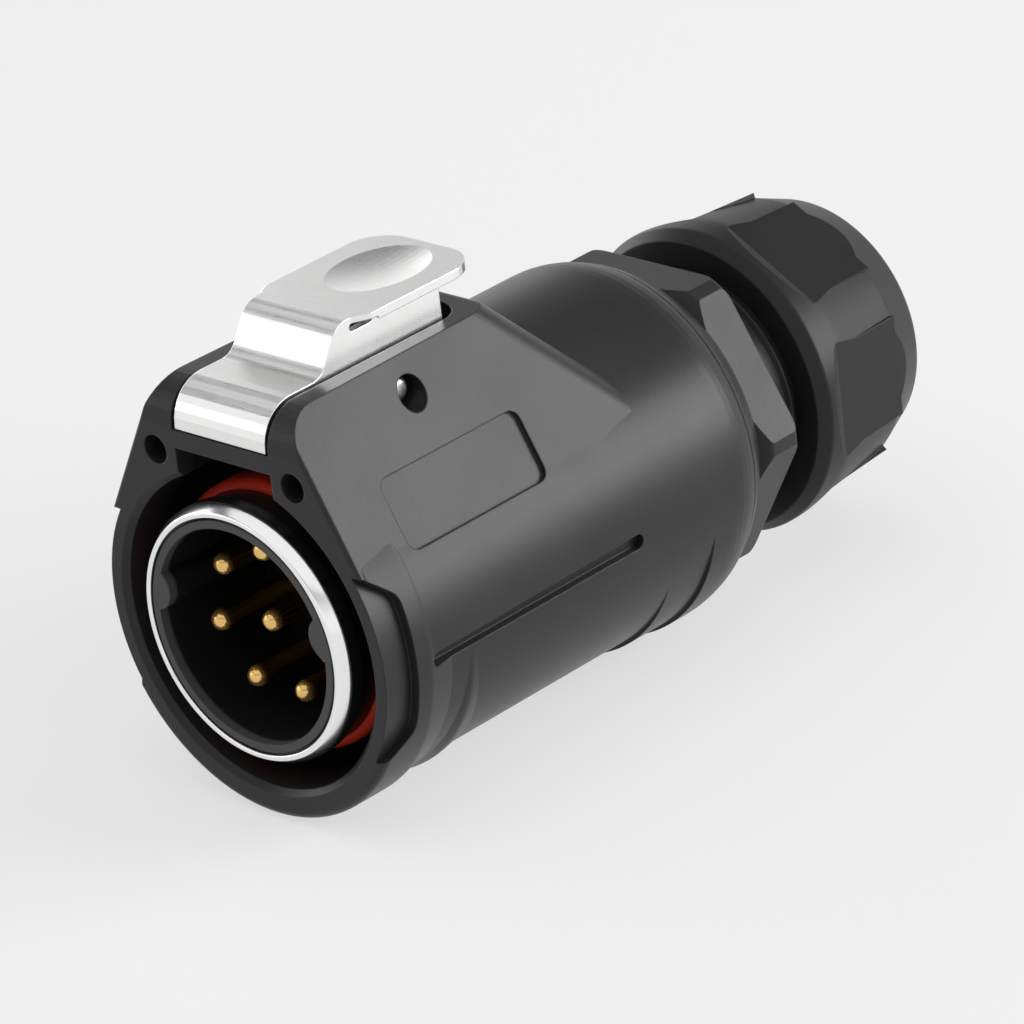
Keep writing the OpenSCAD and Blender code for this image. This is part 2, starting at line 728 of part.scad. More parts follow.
module flat_cut(i) {
    out = nut_r + 5;
    on_flat(i) polygon(outline(concat(flat_line(), [
        [nut_r - flat_depth[2], nut_end + 1, 0], [out, nut_end + 1, 0], [out, flat_y, 0]])));
}
module flat_pad(i) {
    root = nut_bore_r + 0.5;
    half = 180 / nut_lobes - lobe_half;
    a = (i + 0.5) * 360 / nut_lobes + 30;
    intersection() {
        on_flat(i) polygon(outline(concat(flat_line(), [[root, dome_y, 0], [root, flat_y, 0]])));
        rotate([0, -a, 0]) section(nut_y, nut_end)
            polygon([[0, 0], reach * [cos(half), -sin(half)], reach * [cos(half), sin(half)]]);
        rod(nut_r, nut_y, nut_end);
    }
}

shell();
front_ring();
barrel();
insulator();
face_seal();
barrel_gasket();
insert_nut();
for (i = [1:contact_total]) {
    contact_pin(i - 1);
}
latch_lever();
latch_pin();
latch_spring();
rear_adapter();
adapter_seal();
clamp_cage();
gland_seal();
gland_nut();
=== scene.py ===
"""Studio picture and visual model of a circular connector plug with a push latch.

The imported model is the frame. Each sub-assembly dresses its CAD nodes and adds the fine pieces that
sit on them.
"""
import logging
import math
from dataclasses import dataclass
from enum import Enum

import bmesh
import bpy
from mathutils import Matrix, Vector


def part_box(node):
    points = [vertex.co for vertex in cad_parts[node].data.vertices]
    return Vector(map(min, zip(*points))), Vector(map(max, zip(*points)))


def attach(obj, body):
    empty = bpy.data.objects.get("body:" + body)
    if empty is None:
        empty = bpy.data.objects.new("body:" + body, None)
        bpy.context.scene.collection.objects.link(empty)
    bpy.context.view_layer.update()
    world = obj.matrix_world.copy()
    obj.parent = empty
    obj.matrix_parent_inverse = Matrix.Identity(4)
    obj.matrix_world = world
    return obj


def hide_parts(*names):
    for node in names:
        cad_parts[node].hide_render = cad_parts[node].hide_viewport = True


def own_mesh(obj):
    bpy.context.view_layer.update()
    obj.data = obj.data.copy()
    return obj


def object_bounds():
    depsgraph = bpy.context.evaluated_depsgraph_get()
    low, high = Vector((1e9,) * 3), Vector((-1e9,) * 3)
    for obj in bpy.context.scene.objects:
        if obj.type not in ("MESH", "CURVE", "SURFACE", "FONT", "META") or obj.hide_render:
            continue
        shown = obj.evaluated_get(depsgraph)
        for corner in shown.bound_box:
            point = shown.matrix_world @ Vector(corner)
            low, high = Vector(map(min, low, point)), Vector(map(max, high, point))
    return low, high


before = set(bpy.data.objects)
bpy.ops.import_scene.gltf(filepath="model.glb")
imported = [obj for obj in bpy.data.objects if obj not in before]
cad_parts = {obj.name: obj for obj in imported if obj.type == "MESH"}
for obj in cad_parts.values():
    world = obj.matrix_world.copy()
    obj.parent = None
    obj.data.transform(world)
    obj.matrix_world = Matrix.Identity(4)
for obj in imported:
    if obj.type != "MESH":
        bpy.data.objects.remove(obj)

CAD_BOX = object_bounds()
MM = 0.001
LOG = logging.getLogger("plug")

Tint = tuple[float, float, float]
WHITE: Tint = (1.0, 1.0, 1.0)

# Points closer than this many millimetres are in the same place.
NEAR = 0.001


class Body(Enum):
    """The CAD bodies that pieces ride on."""

    HOUSING = "housing"
    LEVER = "lever"
    NUT = "nut"


class Wire:
    """One output socket of a shader tree; arithmetic on it adds Math nodes."""

    def __init__(self, tree: "Tree", socket: bpy.types.NodeSocket) -> None:
        """Keeps the socket and the tree that it belongs to."""
        self.tree = tree
        self.socket = socket

    def _math(self, operation: str, left: "Wire | float", right: "Wire | float") -> "Wire":
        """Adds one Math node.

        Args:
            operation: Name of the Math node's operation.
            left: First operand.
            right: Second operand.

        Returns:
            The node's value.
        """
        return self.tree.add("ShaderNodeMath", {"operation": operation}, {0: left, 1: right})

    def __add__(self, other: "Wire | float") -> "Wire":
        """Sum."""
        return self._math("ADD", self, other)

    def __radd__(self, other: float) -> "Wire":
        """Sum with a number on the left."""
        return self._math("ADD", other, self)

    def __sub__(self, other: "Wire | float") -> "Wire":
        """Difference."""
        return self._math("SUBTRACT", self, other)

    def __rsub__(self, other: float) -> "Wire":
        """Difference with a number on the left."""
        return self._math("SUBTRACT", other, self)

    def __mul__(self, other: "Wire | float") -> "Wire":
        """Product."""
        return self._math("MULTIPLY", self, other)

    def __rmul__(self, other: float) -> "Wire":
        """Product with a number on the left."""
        return self._math("MULTIPLY", other, self)

    def out(self, name: str | int) -> "Wire":
        """Another output of the same node."""
        return Wire(self.tree, self.socket.node.outputs[name])


class Tree:
    """A node tree that is filled through one method."""

    BEVEL_SAMPLES = 6
    RUB_SPAN = (0.02, 0.3)

    def __init__(self, owner: bpy.types.Material | bpy.types.World) -> None:
        """Empties the owner's node tree and keeps it."""
        owner.use_nodes = True
        self.nodes = owner.node_tree.nodes
        self.links = owner.node_tree.links
        self.nodes.clear()

    def add(
        self, kind: str, settings: dict | None = None, inputs: dict | None = None,
        output: int | str | None = 0,
    ) -> Wire | None:
        """Adds a node.

        Args:
            kind: Blender's name of the node type.
            settings: Properties, which are set first.
            inputs: Values or wires for sockets, by name or place.
            output: The output to return, or None for a node that has none.

        Returns:
            That output as a wire.
        """
        node = self.nodes.new(kind)
        for key, value in (settings or {}).items():
            setattr(node, key, value)
        for key, value in (inputs or {}).items():
            if isinstance(value, Wire):
                self.links.new(value.socket, node.inputs[key])
            else:
                node.inputs[key].default_value = value
        return None if output is None else Wire(self, node.outputs[output])

    def place(self, stretch: tuple[float, float, float] = (1.0, 1.0, 1.0)) -> Wire:
        """Object coordinates in millimetres, squeezed or stretched along each axis."""
        at = self.add("ShaderNodeTexCoord", output="Object")
        return self.add("ShaderNodeMapping", {}, {"Vector": at, "Scale": [s / MM for s in stretch]})

    def part(self, at: Wire, axis: str) -> Wire:
        """One coordinate of a point: X, Y or Z."""
        return self.add("ShaderNodeSeparateXYZ", {}, {0: at}, output=axis)

    def noise(self, at: Wire, scale: float, detail: float = 2.0) -> Wire:
        """Noise from 0 to 1, with its scale in repeats per millimetre."""
        return self.add("ShaderNodeTexNoise", {}, {"Vector": at, "Scale": scale, "Detail": detail})

    def span(self, value: Wire, low: float, high: float) -> Wire:
        """A value mapped smoothly from low..high to 0..1."""
        ends = {"Value": value, "From Min": low, "From Max": high}
        return self.add("ShaderNodeMapRange", {"interpolation_type": "SMOOTHSTEP"}, ends)

    def blend(self, share: Wire, first: "Wire | Tint", second: "Wire | Tint") -> Wire:
        """Mixes two colours."""
        ends = {0: share, 6: self.colour(first), 7: self.colour(second)}
        return self.add("ShaderNodeMix", {"data_type": "RGBA"}, ends, output=2)

    def edge(self, radius: float) -> Wire:
        """Normals of the surface with its edges rounded by a radius in millimetres."""
        return self.add("ShaderNodeBevel", {"samples": self.BEVEL_SAMPLES}, {"Radius": radius * MM})

    def rub(self, rounded: Wire) -> Wire:
        """How far rounded normals lean away from the surface: a mask of its edges."""
        true = self.add("ShaderNodeNewGeometry", output="Normal")
        product = {"operation": "DOT_PRODUCT"}
        along = self.add("ShaderNodeVectorMath", product, {0: rounded, 1: true}, output="Value")
        return self.span(1.0 - along, *self.RUB_SPAN)

    def bump(self, height: Wire, depth: float, normal: Wire) -> Wire:
        """Relief of a depth in millimetres on top of a normal."""
        return self.add("ShaderNodeBump", {}, {"Height": height, "Distance": depth * MM, "Normal": normal})

    def surface(self, inputs: dict) -> None:
        """Ends the tree in one Principled shader with these inputs."""
        shader = self.add("ShaderNodeBsdfPrincipled", {}, inputs)
        self.add_output("ShaderNodeOutputMaterial", shader)

    def add_output(self, kind: str, shader: Wire) -> None:
        """Ends the tree in an output node."""
        self.add(kind, {}, {"Surface": shader}, output=None)

    @staticmethod
    def colour(value: "Wire | Tint") -> "Wire | tuple[float, float, float, float]":
        """A wire as it is, or a tint with its alpha."""
        return value if isinstance(value, Wire) else (*value, 1.0)


def shade(tint: Tint, share: float) -> Tint:
    """A tint made darker or lighter."""
    return tuple(min(1.0, c * share) for c in tint)


def swing(value: Wire, reach: float) -> Wire:
    """A value from 0 to 1 as a swing to both sides of nothing, over a reach."""
    return (value - 0.5) * reach


@dataclass(frozen=True)
class Finish:
    """A finish with its name and tint; lengths are in millimetres, patterns in repeats per millimetre."""

    name: str
    tint: Tint

    def make(self) -> bpy.types.Material:
        """Builds the material.

        Returns:
            The finished material.
        """
        material = bpy.data.materials.new(self.name)
        tree = Tree(material)
        tree.surface(self.inputs(tree))
        return material

    def inputs(self, tree: Tree) -> dict:
        """Fills the tree; each finish has its own way.

        Args:
            tree: The material's empty tree.

        Returns:
            The shader's inputs.
        """
        raise NotImplementedError

    def tone(self, tree: Tree, share: Wire, ends: tuple[float, float]) -> Wire:
        """The tint as it varies between a darker and a lighter share of itself."""
        return tree.blend(share, *(shade(self.tint, end) for end in ends))


@dataclass(frozen=True)
class MouldedPlastic(Finish):
    """Moulded plastic with a spark-eroded grain, faint flow marks and edges rubbed bright."""

    rough: float = 0.35
    grain: float = 8.0
    depth: float = 0.008
    edge: float = 0.16
    wear: float = 0.35
    gloss: float = 0.24
    flow: float = 0.16
    flow_tones: tuple[float, float] = (0.84, 1.16)
    flow_rough: float = 0.12
    grain_rough: float = 0.14
    patch: float = 0.7
    patch_span: tuple[float, float] = (0.3, 0.7)
    worn_tone: float = 2.4
    worn_rough: float = 0.2

    def inputs(self, tree: Tree) -> dict:
        """Fills the tree.

        Args:
            tree: The material's empty tree.

        Returns:
            The shader's inputs.
        """
        at = tree.place()
        rounded = tree.edge(self.edge)
        flow = tree.noise(at, self.flow, detail=4.0)
        grain = tree.noise(at, self.grain)
        patches = tree.span(tree.noise(at, self.patch, detail=3.0), *self.patch_span)
        worn = tree.rub(rounded) * patches * self.wear
        tone = self.tone(tree, flow, self.flow_tones)
        rough = self.rough + swing(flow, self.flow_rough) + swing(grain, self.grain_rough)
        return {
            "Base Color": tree.blend(worn, tone, shade(self.tint, self.worn_tone)),
            "Roughness": rough - worn * self.worn_rough,
            "Normal": tree.bump(grain, self.depth, rounded),
            "Specular IOR Level": self.gloss,
        }


@dataclass(frozen=True)
class GlossPlastic(Finish):
    """Polished moulding with a faint ripple and dust in its gloss."""

    rough: float = 0.16
    ripple: float = 0.004
    edge: float = 0.1
    gloss: float = 0.3
    cloud: float = 0.5
    cloud_tones: tuple[float, float] = (0.8, 1.2)
    cloud_rough: float = 0.08
    dust: float = 9.0
    dust_span: tuple[float, float] = (0.62, 0.75)
    dust_rough: float = 0.12

    def inputs(self, tree: Tree) -> dict:
        """Fills the tree.

        Args:
            tree: The material's empty tree.

        Returns:
            The shader's inputs.
        """
        at = tree.place()
        cloud = tree.noise(at, self.cloud, detail=3.0)
        dust = tree.span(tree.noise(at, self.dust, detail=1.0), *self.dust_span)
        return {
            "Base Color": self.tone(tree, cloud, self.cloud_tones),
            "Roughness": self.rough + swing(cloud, self.cloud_rough) + dust * self.dust_rough,
            "Normal": tree.bump(cloud, self.ripple, tree.edge(self.edge)),
            "Specular IOR Level": self.gloss,
        }


@dataclass(frozen=True)
class BrushedMetal(Finish):
    """Metal with polish lines, cloudy roughness and rounded edges; the stretch draws the lines out."""

    rough: float
    stretch: tuple[float, float, float] = (1.0, 1.0, 1.0)
    lines: float = 6.0
    depth: float = 0.004
    edge: float = 0.1
    line_rough: float = 0.5
    cloud: float = 0.45
    cloud_tones: tuple[float, float] = (0.96, 1.03)
    cloud_rough: float = 0.2

    def inputs(self, tree: Tree) -> dict:
        """Fills the tree.

        Args:
            tree: The material's empty tree.

        Returns:
            The shader's inputs.
        """
        brush = tree.noise(tree.place(self.stretch), self.lines)
        cloud = tree.noise(tree.place(), self.cloud, detail=3.0)
        return {
            "Base Color": self.tone(tree, cloud, self.cloud_tones),
            "Metallic": 1.0,
            "Roughness": self.rough * (1.0 + swing(cloud, self.cloud_rough) + swing(brush, self.line_rough)),
            "Normal": tree.bump(brush, self.depth, tree.edge(self.edge)),
        }


@dataclass(frozen=True)
class Rubber(Finish):
    """Soft moulding with a matt bloom and a fine skin."""

    rough: float = 0.5
    skin: float = 0.006
    edge: float = 0.15
    gloss: float = 0.2
    bloom: float = 0.6
    bloom_tones: tuple[float, float] = (0.85, 1.15)
    bloom_rough: float = 0.15
    fine: float = 8.0
    fine_rough: float = 0.1

    def inputs(self, tree: Tree) -> dict:
        """Fills the tree.

        Args:
            tree: The material's empty tree.

        Returns:
            The shader's inputs.
        """
        at = tree.place()
        bloom = tree.noise(at, self.bloom, detail=4.0)
        fine = tree.noise(at, self.fine)
        return {
            "Base Color": self.tone(tree, bloom, self.bloom_tones),
            "Roughness": self.rough + swing(bloom, self.bloom_rough) + swing(fine, self.fine_rough),
            "Normal": tree.bump(fine, self.skin, tree.edge(self.edge)),
            "Specular IOR Level": self.gloss,
        }


@dataclass(frozen=True)
class PlatedContact(Finish):
    """Gold plating, drawn along the shaft and smoothest on the tip, which fades in between two places."""

    rough: float = 0.16
    tip: tuple[float, float] = (3.0, 2.3)
    tip_rough: float = -0.06
    tip_metal: float = 0.72
    cloud: float = 1.4
    cloud_tones: tuple[float, float] = (0.9, 1.08)
    cloud_rough: float = 0.06
    stretch: tuple[float, float, float] = (1.0, 0.1, 1.0)
    lines: float = 9.0
    line_rough: float = 0.04
    depth: float = 0.0004
    edge: float = 0.06

    def inputs(self, tree: Tree) -> dict:
        """Fills the tree.

        Args:
            tree: The material's empty tree.

        Returns:
            The shader's inputs.
        """
        at = tree.place()
        tip = tree.span(tree.part(at, "Y"), *self.tip)
        cloud = tree.noise(at, self.cloud, detail=3.0)
        drawn = tree.noise(tree.place(self.stretch), self.lines)
        rough = self.rough + tip * self.tip_rough
        return {
            "Base Color": self.tone(tree, cloud, self.cloud_tones),
            "Metallic": 1.0 - tip * (1.0 - self.tip_metal),
            "Roughness": rough + swing(cloud, self.cloud_rough) + swing(drawn, self.line_rough),
            "Normal": tree.bump(drawn, self.depth, tree.edge(self.edge)),
        }


@dataclass(frozen=True)
class PlatedRim(Finish):
    """Chrome on a ring's front that ends at a line round its black skirt."""

    skirt: Tint
    rough: float = 0.2
    skirt_rough: float = 0.3
    line: tuple[float, float] = (0.24, 0.3)
    cloud: float = 0.8
    cloud_tones: tuple[float, float] = (0.95, 1.04)
    cloud_rough: float = 0.08
    ripple: float = 0.001
    edge: float = 0.08

    def inputs(self, tree: Tree) -> dict:
        """Fills the tree.

        Args:
            tree: The material's empty tree.

        Returns:
            The shader's inputs.
        """
        at = tree.place()
        bare = tree.span(tree.part(at, "Y"), *self.line)
        cloud = tree.noise(at, self.cloud, detail=3.0)
        rough = self.rough + bare * (self.skirt_rough - self.rough)
        return {
            "Base Color": tree.blend(bare, self.tone(tree, cloud, self.cloud_tones), self.skirt),
            "Metallic": 1.0 - bare,
            "Roughness": rough + swing(cloud, self.cloud_rough),
            "Normal": tree.bump(cloud, self.ripple, tree.edge(self.edge)),
        }


@dataclass(frozen=True)
class CupPlastic(Finish):
    """Insulating plastic, grey at its rim and near black deeper in the cup; the darkening into the cup is
    painted shade.
    """

    # Grey of the rim, from which the painted shade fades to the near-black tint deeper in the cup.
    rim: Tint
    rough: float = 0.4
    gloss: float = 0.15
    # Depths along the axis, in millimetres, over which the painted shade darkens from the rim into the cup.
    painted_shade_depths: tuple[float, float] = (0.4, 0.05)
    rim_least: float = 0.8
    rim_grain: float = 0.4
    grain: float = 8.0
    grain_rough: float = 0.16
    depth: float = 0.004
    edge: float = 0.12

    def inputs(self, tree: Tree) -> dict:
        """Fills the tree.

        Args:
            tree: The material's empty tree.

        Returns:
            The shader's inputs.
        """
        at = tree.place()
        # Painted shade: the share of the rim's grey, which falls off deeper in the cup.
        rim = tree.span(tree.part(at, "Y"), *self.painted_shade_depths)
        grain = tree.noise(at, self.grain)
        return {
            "Base Color": tree.blend(rim * (self.rim_least + grain * self.rim_grain), self.tint, self.rim),
            "Roughness": self.rough + swing(grain, self.grain_rough),
            "Normal": tree.bump(grain, self.depth, tree.edge(self.edge)),
            "Specular IOR Level": self.gloss,
        }


class Finishes(Enum):
    """The finishes of the plug's pieces."""

    SHELL = MouldedPlastic("shell_plastic", (0.026, 0.026, 0.0263))
    NUT = MouldedPlastic("nut_plastic", (0.02, 0.02, 0.0203), rough=0.38, grain=9.0, gloss=0.2)
    ADAPTER = MouldedPlastic("adapter_plastic", (0.025, 0.025, 0.0253))
    INSERT = MouldedPlastic("insert_plastic", (0.03, 0.031, 0.033), rough=0.5)
    CAGE = MouldedPlastic("cage_plastic", (0.16, 0.165, 0.17), rough=0.45)
    # Near black in the cup and grey at the rim; the darkening into the cup is painted shade.
    INSULATOR = CupPlastic("insulator_plastic", (0.012, 0.0125, 0.0135), (0.1, 0.1, 0.104))
    BARREL = GlossPlastic("barrel_gloss", (0.012, 0.012, 0.013), rough=0.32, gloss=0.35)
    RING = PlatedRim("ring_chrome", (0.9, 0.9, 0.905), (0.012, 0.012, 0.013))
    LEVER = BrushedMetal(
        "lever_steel", (0.86, 0.86, 0.853), 0.3, stretch=(0.05, 1.0, 1.0), lines=9.0, depth=0.001)
    PIN = BrushedMetal("pin_steel", (0.5, 0.5, 0.51), 0.34, stretch=(0.1, 1.0, 1.0))
    SPRING = BrushedMetal("spring_steel", (0.5, 0.5, 0.52), 0.3)
    CONTACT = PlatedContact("contact_gold", (0.95, 0.6, 0.2))
    SEAL = Rubber("red_silicone", (0.9, 0.05, 0.016))
    GASKET = Rubber("black_rubber", (0.018, 0.018, 0.019), rough=0.6)


class Palette:
    """Makes each finish once and hands out its material."""

    def __init__(self) -> None:
        """Starts with no material made."""
        self._made: dict[str, bpy.types.Material] = {}

    def material(self, finish: Finishes) -> bpy.types.Material:
        """The material of a finish."""
        if finish.name not in self._made:
            self._made[finish.name] = finish.value.make()
        return self._made[finish.name]


PALETTE = Palette()


@dataclass
class SubAssembly:
    """Nodes of one CAD body, dressed together; edges sharper than the crease, in radians, stay sharp."""

    body: Body
    crease: float = 0.7

    def coat(self, node: str, finish: Finishes) -> None:
        """Gives a CAD node its finish.

        Args:
            node: Name of the node.
            finish: Its finish.
        """
        material = PALETTE.material(finish)
        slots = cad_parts[node].data.materials
        slots.clear()
        slots.append(material)
        LOG.info("%s: %s", node, material.name)

    def add_piece(
        self, name: str, shape: bmesh.types.BMesh, finish: Finishes, slot: str, body: Body | None = None,
    ) -> bpy.types.Object:
        """Turns a finished shape into a piece that rides on a body.

        Args:
            name: Name of the piece.
            shape: Its mesh, in metres, which is used up.
            finish: Its finish.
            slot: Name of a material slot; not used.
            body: The body that carries it, if it isn't the sub-assembly's own.

        Returns:
            The piece.
        """
        for face in shape.faces:
            face.smooth = True
        for edge in shape.edges:
            edge.smooth = edge.calc_face_angle(0.0) < self.crease
        mesh = bpy.data.meshes.new(name)
        shape.to_mesh(mesh)
        shape.free()
        mesh.materials.append(PALETTE.material(finish))
        piece = bpy.data.objects.new(name, mesh)
        bpy.context.scene.collection.objects.link(piece)
        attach(piece, (body or self.body).value)
        LOG.info("%s: %d faces", name, len(mesh.polygons))
        return piece

    def dress(self) -> None:
        """Finishes the nodes and builds the pieces; each sub-assembly has its own."""
        raise NotImplementedError


@dataclass
class Housing(SubAssembly):
    """Shell, rear adapter and the seal between them; lengths are in millimetres."""

    body: Body = Body.HOUSING
    thread_root: float = 9.3
    thread_crest: float = 9.72
    thread_start: float = 44.9
    thread_pitch: float = 1.5
    thread_turns: float = 2.05
    thread_flank: float = 0.42
    thread_flat: float = 0.16
    steps_per_turn: int = 72

    def dress(self) -> None:
        """Finishes the shell and the rear adapter, and winds the neck's thread."""
        self.coat("shell", Finishes.SHELL)
        self.coat("rear_adapter", Finishes.ADAPTER)
        self.coat("adapter_seal", Finishes.GASKET)
        self.add_piece("neck_thread", self.thread(), Finishes.ADAPTER, "adapter_plastic")

    def thread(self) -> bmesh.types.BMesh:
        """Winds the thread that shows between the hexagon and the gland nut.

        Returns:
            The ridge, closed at both ends.
        """
        shape = bmesh.new()
        profile = (
            (self.thread_root, -self.thread_flank), (self.thread_crest, -self.thread_flat / 2),
            (self.thread_crest, self.thread_flat / 2), (self.thread_root, self.thread_flank))
        corners = [shape.verts.new((r * MM, (self.thread_start + y) * MM, 0.0)) for r, y in profile]
        ring = shape.faces.new(corners)
        steps = round(self.thread_turns * self.steps_per_turn)
        rise = self.thread_pitch * self.thread_turns / steps
        bmesh.ops.spin(
            shape, geom=[ring], cent=(0.0, 0.0, 0.0), axis=(0.0, 1.0, 0.0), dvec=(0.0, rise * MM, 0.0),
            angle=math.tau * self.thread_turns, steps=steps, use_duplicate=False)
        bmesh.ops.recalc_face_normals(shape, faces=shape.faces)
        return shape


@dataclass
class Insert(SubAssembly):
    """Barrel with its ring, seals, insulator and contacts; lengths are in millimetres."""

    body: Body = Body.HOUSING
    contacts: int = 8
    ring_bore: float = 9.0
    ring_seat: float = 9.32
    ring_out: float = 9.9
    ring_front: float = -0.6
    ring_lip: float = 0.4
    ring_skirt: float = 1.3
    ring_cone: tuple[float, float] = (0.5, 0.85)
    ring_soft: float = 0.1
    seal_bore: float = 9.62
    seal_out: float = 10.3
    seal_front: float = 3.3
    seal_back: float = 5.48
    seal_round: float = 0.6
    turn_steps: int = 144
    ring_soft_cuts: int = 4
    seal_cuts: int = 8

    def dress(self) -> None:
        """Finishes the insert's nodes and turns its ring and seal."""
        self.coat("front_ring", Finishes.RING)
        self.coat("barrel", Finishes.BARREL)
        self.coat("insulator", Finishes.INSULATOR)
        self.coat("face_seal", Finishes.SEAL)
        self.coat("barrel_gasket", Finishes.GASKET)
        self.coat("insert_nut", Finishes.INSERT)
        for number in range(1, self.contacts + 1):
            self.coat(f"contact_pin_{number}", Finishes.CONTACT)
        ring = self.add_piece("chrome_ring", self.ring(), Finishes.RING, "ring_chrome")
        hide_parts("front_ring")
        seal = self.add_piece("seal_ring", self.seal(), Finishes.SEAL, "red_silicone")
        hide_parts("face_seal")

    def seal(self) -> bmesh.types.BMesh:
        """Turns the seal that sits round the barrel, with a wide round on its front.

        Returns:
            The closed seal.
        """
        shape = self.turn((
            (self.seal_bore, self.seal_front), (self.seal_out, self.seal_front),
            (self.seal_out, self.seal_back), (self.seal_bore, self.seal_back)))
        self.break_edge(shape, self.seal_out, self.seal_front, self.seal_round, self.seal_cuts)
        bmesh.ops.recalc_face_normals(shape, faces=shape.faces)
        return shape

    def turn(self, section: tuple[tuple[float, float], ...]) -> bmesh.types.BMesh:
        """Turns a section round the mating axis.

        Args:
            section: Corners as radius and place along the axis.

        Returns:
            The closed turned shape.
        """
        shape = bmesh.new()
        loop = [shape.verts.new((r * MM, y * MM, 0.0)) for r, y in section]
        edges = [shape.edges.new((a, b)) for a, b in zip(loop, loop[1:] + loop[:1])]
        bmesh.ops.spin(
            shape, geom=loop + edges, cent=(0.0, 0.0, 0.0), axis=(0.0, 1.0, 0.0), angle=math.tau,
            steps=self.turn_steps, use_merge=True)
        return shape

    def ring(self) -> bmesh.types.BMesh:
        """Turns the front ring, with a long cone round its front edge.

        Returns:
            The closed ring.
        """
        wide, run = self.ring_cone
        squeeze = wide / run
        front, back = self.ring_front, self.ring_front + self.ring_lip
        section = (
            (self.ring_bore, front), (self.ring_out, front), (self.ring_out, self.ring_skirt),
            (self.ring_seat, self.ring_skirt), (self.ring_seat, back), (self.ring_bore, back))
        shape = self.turn(tuple((r, y * squeeze) for r, y in section))
        self.break_edge(shape, self.ring_out, front * squeeze, wide, cuts=1)
        for r, y in ((self.ring_out, front + run), (self.ring_out - wide, front), (self.ring_bore, front)):
            self.break_edge(shape, r, y * squeeze, self.ring_soft, self.ring_soft_cuts)
        bmesh.ops.scale(shape, verts=shape.verts, vec=(1.0, 1.0 / squeeze, 1.0))
        bmesh.ops.recalc_face_normals(shape, faces=shape.faces)
        return shape

    def break_edge(
        self, shape: bmesh.types.BMesh, radius: float, along: float, width: float, cuts: int,
    ) -> None:
        """Bevels the turned edge at a radius and a place along the axis.

        Args:
            shape: The turned shape.
            radius: The edge's radius.
            along: Its place along the mating axis.
            width: Width of the bevel.
            cuts: Its number of segments.
        """
        def at_edge(vert: bmesh.types.BMVert) -> bool:
            """Tells whether a vertex is on the edge."""
            off = math.hypot(vert.co.x, vert.co.z) / MM - radius, vert.co.y / MM - along
            return max(map(abs, off)) < NEAR

        ring = [edge for edge in shape.edges if all(map(at_edge, edge.verts))]
        bmesh.ops.bevel(
            shape, geom=ring, offset=width * MM, offset_type="OFFSET", affect="EDGES", segments=cuts,
            profile=0.5, material=-1)


@dataclass
class Latch(SubAssembly):
    """Lever with its hinge pin and spring; lengths are in millimetres."""

    body: Body = Body.LEVER
    pin_at: tuple[float, float] = (11.7, 15.5)
    pin_radius: float = 0.98
    pin_reach: tuple[float, float] = (5.2, 6.4)
    pin_round: float = 0.55
    pin_sides: int = 48
    pin_cuts: int = 6
    spring_wire: float = 0.5
    spring_turns: float = 4.0
    spring_closed: float = 0.52
    spring_keep: float = 0.81
    wire_sides: int = 12
    steps_per_turn: int = 32

    def dress(self) -> None:
        """Finishes the latch, rounds the ends of its pin and winds its spring."""
        self.coat("latch_lever", Finishes.LEVER)
        self.coat("latch_pin", Finishes.PIN)
        self.coat("latch_spring", Finishes.SPRING)
        self.add_piece("hinge_pin_ends", self.pin_ends(), Finishes.PIN, "pin_steel", Body.HOUSING)
        spring = self.add_piece("coil_spring", self.coil(), Finishes.SPRING, "spring_steel", Body.HOUSING)
        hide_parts("latch_spring")
        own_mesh(spring)

    def coil(self) -> bmesh.types.BMesh:
        """Winds the spring in its node's place, with a closed turn at each end.

        Returns:
            The wound wire, capped at both ends.
        """
        low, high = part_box("latch_spring")
        middle = (low + high) / 2
        wire = self.spring_wire * MM / 2
        closed = self.spring_closed * MM
        rise = high.z - low.z - 2 * (wire + closed)
        upright = Matrix.Rotation(math.pi / 2, 4, "X")
        start = Matrix.Translation((high.x - wire, middle.y, low.z + wire)) @ upright
        shape = bmesh.new()
        bmesh.ops.create_circle(shape, cap_ends=True, segments=self.wire_sides, radius=wire, matrix=start)
        end = next(iter(shape.faces))
        joints = []
        for turns, climb in ((1.0, closed), (self.spring_turns, rise), (1.0, closed)):
            steps = round(turns * self.steps_per_turn)
            made = bmesh.ops.spin(
                shape, geom=[end], cent=middle, axis=(0.0, 0.0, 1.0), dvec=(0.0, 0.0, climb / steps),
                angle=math.tau * turns, steps=steps, use_duplicate=False)
            end = next(part for part in made["geom_last"] if isinstance(part, bmesh.types.BMFace))
            joints.append(end)
        bmesh.ops.delete(shape, geom=joints[:-1], context="FACES_ONLY")
        bmesh.ops.recalc_face_normals(shape, faces=shape.faces)
        return shape

    def pin_ends(self) -> bmesh.types.BMesh:
        """Makes the rounded ends of the hinge pin, which show in the flanks' holes.

        Returns:
            Both ends, closed.
        """
        near, far = self.pin_reach
        shape = bmesh.new()
        for side in (1.0, -1.0):
            middle = Vector((side * (near + far) / 2, *self.pin_at)) * MM
            place = Matrix.Translation(middle) @ Matrix.Rotation(side * math.pi / 2, 4, "Y")
            bmesh.ops.create_cone(
                shape, cap_ends=True, segments=self.pin_sides, radius1=self.pin_radius * MM,
                radius2=self.pin_radius * MM, depth=(far - near) * MM, matrix=place)
            rim = [
                edge for edge in shape.edges
                if all(abs(vert.co.x * side - far * MM) < NEAR * MM for vert in edge.verts)]
            bmesh.ops.bevel(
                shape, geom=rim, offset=self.pin_round * MM, offset_type="OFFSET", affect="EDGES",
                segments=self.pin_cuts, profile=0.5, material=-1)
        bmesh.ops.recalc_face_normals(shape, faces=shape.faces)
        return shape


@dataclass
class Gland(SubAssembly):
    """Cable gland: nut, clamping cage and seal."""

    body: Body = Body.NUT

    def dress(self) -> None:
        """Finishes the gland."""
        self.coat("gland_nut", Finishes.NUT)
        self.coat("clamp_cage", Finishes.CAGE)
        self.coat("gland_seal", Finishes.GASKET)


